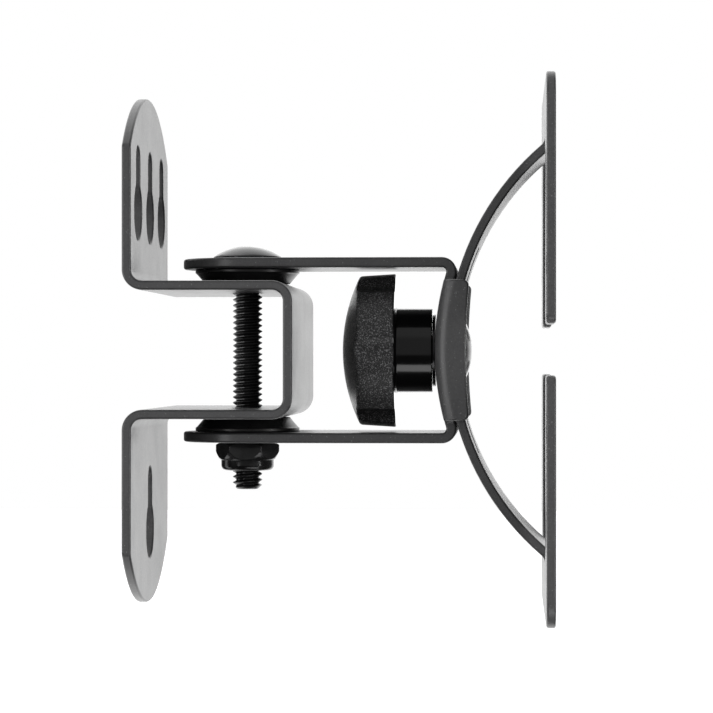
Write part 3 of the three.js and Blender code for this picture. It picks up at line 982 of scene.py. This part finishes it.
def black_steel():
    """Black oxide on steel, with the lathe's fine marks and a brighter rub here and there."""
    shade = Shader("black_steel")
    cloud = shade.noise(260, 4, 0.6)
    marks = shade.noise(500, 2, 0.5, (1.0, 1.0, 7.0))
    colour = shade.blend(shade.ramp(cloud, 0, 1, 0.35, 0.75), grey(0.016), grey(0.05))
    roughness = shade.combine(shade.ramp(cloud, 0.15, 0.24), shade.ramp(marks, -0.03, 0.05))
    normal = shade.bump(marks, 0.00002, 0.35)
    return shade.finish(
        Base_Color=colour, Roughness=roughness, Normal=normal, Metallic=0.6, Coat_Weight=0.1
    )


def nylon(name, dark, light):
    """Moulded nylon with a dull, slightly cloudy skin."""
    shade = Shader(name)
    cloud = shade.noise(300, 3)
    grain = shade.noise(3000, 2)
    colour = shade.blend(shade.ramp(cloud, 0, 1), grey(dark), grey(light))
    roughness = shade.combine(shade.ramp(cloud, 0.28, 0.38), shade.ramp(grain, -0.04, 0.04))
    return shade.finish(
        Base_Color=colour, Roughness=roughness, Normal=shade.bump(grain, 0.00002, 0.3)
    )


def knob_plastic():
    """Black plastic: a smooth hub, and a pitted rim and dome with painted glints, pale specks in the
    colour where the pitting would catch the light.
    """
    shade = Shader("knob_plastic_black")
    pits_and_glints = shade.noise(3900, 2, 0.6)
    coarse = shade.noise(1100, 2)
    cloud = shade.noise(120, 3)
    # Painted glints: the pitting is coloured pale grey 0.3 over the black, standing in for light
    # caught by the pits; the same noise also drives the real bump and roughness.
    colour = shade.blend(shade.ramp(pits_and_glints, 0, 1, 0.53, 0.68), grey(0.018), grey(0.3))
    along = shade.add("ShaderNodeSeparateXYZ", {"Vector": shade.place}).outputs["X"]
    back = (KNOB_LOW.x + KNOB_WIDTH) * MM
    textured = shade.ramp(along, 1, 0, back - 0.0003, back - 0.0001)
    rim = shade.combine(shade.ramp(cloud, 0.36, 0.42), shade.ramp(pits_and_glints, 0.04, -0.06))
    colour = shade.blend(textured, grey(0.006), colour)
    rough = shade.add("ShaderNodeMix", data_type="FLOAT")
    shade.feed(rough.inputs[0], textured)
    shade.feed(rough.inputs[2], shade.ramp(cloud, 0.1, 0.16))
    shade.feed(rough.inputs[3], rim)
    height = shade.combine(shade.combine(coarse, pits_and_glints), textured, "MULTIPLY")
    normal = shade.bump(height, 0.00005, 0.7)
    normal = shade.bump(cloud, 0.00006, 0.2, normal)
    return shade.finish(Base_Color=colour, Roughness=rough.outputs[0], Normal=normal)


def brass():
    """Turned brass, a little tarnished."""
    shade = Shader("brass")
    cloud = shade.noise(400, 4, 0.6)
    bright, dull = (0.62, 0.45, 0.18, 1), (0.4, 0.27, 0.1, 1)
    marks = shade.noise(600, 2, 0.5, (8.0, 1.0, 1.0))
    return shade.finish(
        Base_Color=shade.blend(shade.ramp(cloud, 0, 1), bright, dull),
        Roughness=shade.ramp(cloud, 0.28, 0.45),
        Normal=shade.bump(marks, 0.00002, 0.4),
        Metallic=1.0,
    )


# ---- stage, light and camera --------------------------------------------------------------------

FLOOR_DROP = 0.30
FLOOR_HALF = 6.0
FLOOR_GLOW = 0.5
BACKDROP_SIDE = (-0.55, 0.835, 0.0)
BACKDROP_EDGE = (0.1, 0.45)
BACKDROP_LIGHT = 1.7
FRONT_LIGHT = 0.3
CEILING_LIGHT = 0.45
DIM = 0.04
CAMERA_AT = (0.0823, -0.606, -0.0030)
CAMERA_AIM = (-0.0563, 1.0, 0.00275)
CAMERA_LENS = 137.7
CAMERA_SENSOR = 36.0

# Soft lights: name, place from the object's middle, width and height, and watts.
SOFT_LIGHTS = (
    ("left_light", (-0.49, -0.34, 0.0), (0.56, 0.25), 1.25),
    ("right_light", (0.52, -0.28, 0.0), (0.1, 0.5), 1.6),
    ("low_front_light", (0.11, -0.19, -0.26), (0.3, 0.11), 0.25),
)


def build_floor():
    """A wide pale floor well below the object, lit a little from within so that it stays white."""
    bm = bmesh.new()
    z = cad_low.z - FLOOR_DROP
    sides = ((-1, -1), (1, -1), (1, 1), (-1, 1))
    bm.faces.new([bm.verts.new((x * FLOOR_HALF, y * FLOOR_HALF, z)) for x, y in sides])
    mesh = bpy.data.meshes.new("floor")
    bm.to_mesh(mesh)
    bm.free()
    floor = bpy.data.objects.new("floor", mesh)
    bpy.context.scene.collection.objects.link(floor)
    shade = Shader("floor_white")
    cloud = shade.noise(4, 2)
    floor.data.materials.append(
        shade.finish(
            Base_Color=shade.blend(cloud, grey(0.86), grey(0.9)),
            Roughness=0.9,
            Emission_Color=(1, 1, 1, 1),
            Emission_Strength=FLOOR_GLOW,
        )
    )
    floor.visible_glossy = floor.visible_diffuse = False


def build_world():
    """White to the camera; as a light, bright behind and to the left, dim in front and above."""
    world = bpy.data.worlds.new("studio")
    bpy.context.scene.world = world
    world.use_nodes = True
    tree = world.node_tree
    background = tree.nodes["Background"]
    background.inputs["Strength"].default_value = 1.0

    def node(kind, *values, **settings):
        made = tree.nodes.new(kind)
        for key, value in settings.items():
            setattr(made, key, value)
        for socket, value in zip(made.inputs, values):
            if isinstance(value, bpy.types.NodeSocket):
                tree.links.new(value, socket)
            elif value is not None:
                socket.default_value = value
        return made

    def fade(value, start, end, low, high):
        made = node("ShaderNodeMapRange", value, start, end, low, high)
        made.interpolation_type = "SMOOTHSTEP"
        return made.outputs[0]

    ray = node("ShaderNodeTexCoord").outputs["Generated"]
    split = node("ShaderNodeSeparateXYZ", ray)
    behind = node("ShaderNodeVectorMath", ray, BACKDROP_SIDE, operation="DOT_PRODUCT")
    backdrop = fade(behind.outputs["Value"], *BACKDROP_EDGE, DIM, BACKDROP_LIGHT)
    front = fade(split.outputs["Y"], -0.4, -0.15, FRONT_LIGHT, 0)
    over = fade(split.outputs["Z"], -0.3, -0.15, 0, 1)
    panel = node("ShaderNodeMath", front, over, operation="MULTIPLY")
    ceiling = fade(split.outputs["Z"], 0.25, 0.7, 0, CEILING_LIGHT)
    above = node("ShaderNodeMath", panel.outputs[0], ceiling, operation="MAXIMUM")
    light = node("ShaderNodeMath", backdrop, above.outputs[0], operation="MAXIMUM")
    seen = node("ShaderNodeLightPath").outputs["Is Camera Ray"]
    pick = node("ShaderNodeMix", data_type="FLOAT")
    tree.links.new(seen, pick.inputs[0])
    tree.links.new(light.outputs[0], pick.inputs[2])
    pick.inputs[3].default_value = 1.0
    tree.links.new(pick.outputs[0], background.inputs["Color"])


def soft_light(name, place, target, size, watts):
    """A rectangular soft light that reflections see and the camera doesn't."""
    data = bpy.data.lights.new(name, "AREA")
    data.shape = "RECTANGLE"
    data.size, data.size_y = size
    data.energy = watts
    light = bpy.data.objects.new(name, data)
    light.location = place
    light.rotation_euler = (target - place).to_track_quat("-Z", "Y").to_euler()
    light.visible_camera = False
    bpy.context.scene.collection.objects.link(light)


def build_lights():
    centre = (cad_low + cad_high) / 2
    for name, offset, size, watts in SOFT_LIGHTS:
        soft_light(name, centre + Vector(offset), centre, size, watts)


def build_camera():
    data = bpy.data.cameras.new("camera")
    data.sensor_width = CAMERA_SENSOR
    data.lens = CAMERA_LENS
    data.clip_start, data.clip_end = 0.01, 20.0
    camera = bpy.data.objects.new("camera", data)
    camera.location = CAMERA_AT
    camera.rotation_euler = Vector(CAMERA_AIM).to_track_quat("-Z", "Y").to_euler()
    bpy.context.scene.collection.objects.link(camera)
    bpy.context.scene.camera = camera


# ---- the scene ----------------------------------------------------------------------------------


def build():
    coat, steel, plastic = powder_coat(), black_steel(), knob_plastic()
    black, ring = nylon("nylon_black", 0.009, 0.016), nylon("nylon_ring", 0.03, 0.045)
    build_wall_plate(coat)
    build_swivel_arm(coat)
    build_screen_bracket(coat)
    head_z = ARM_HIGH.z + HEAD_LIFT
    carriage_bolt(
        "pivot_bolt_steel",
        "pivot_bolt",
        PIVOT_LOW.z,
        head_z,
        PIVOT_HIGH.z - head_z,
        Matrix.Translation((PIVOT_X, 0, 0)),
        steel,
    )
    seat = CLAMP_HIGH.x - CLAMP_HEAD_HEIGHT
    carriage_bolt(
        "clamp_bolt_steel", "clamp_bolt", CLAMP_LOW.x, seat, CLAMP_HIGH.x - seat, FROM_WALL, steel
    )
    build_cone_washer("pivot_washer_upper", False, black)
    build_cone_washer("pivot_washer_lower", True, black)
    build_lock_nut(steel)
    build_ring("lock_nut_ring_nylon", "arm", "lock_nut_ring", ring, 0.2, None)
    build_ring("clamp_washer_steel", "washer", "clamp_washer", steel, 0.15, TO_WALL)
    build_knob(plastic)
    build_ring("knob_insert_brass", "knob", "knob_insert", brass(), 0.3, TO_WALL)


build()
build_floor()
build_world()
build_lights()
build_camera()
bpy.context.scene.view_settings.view_transform = "Standard"
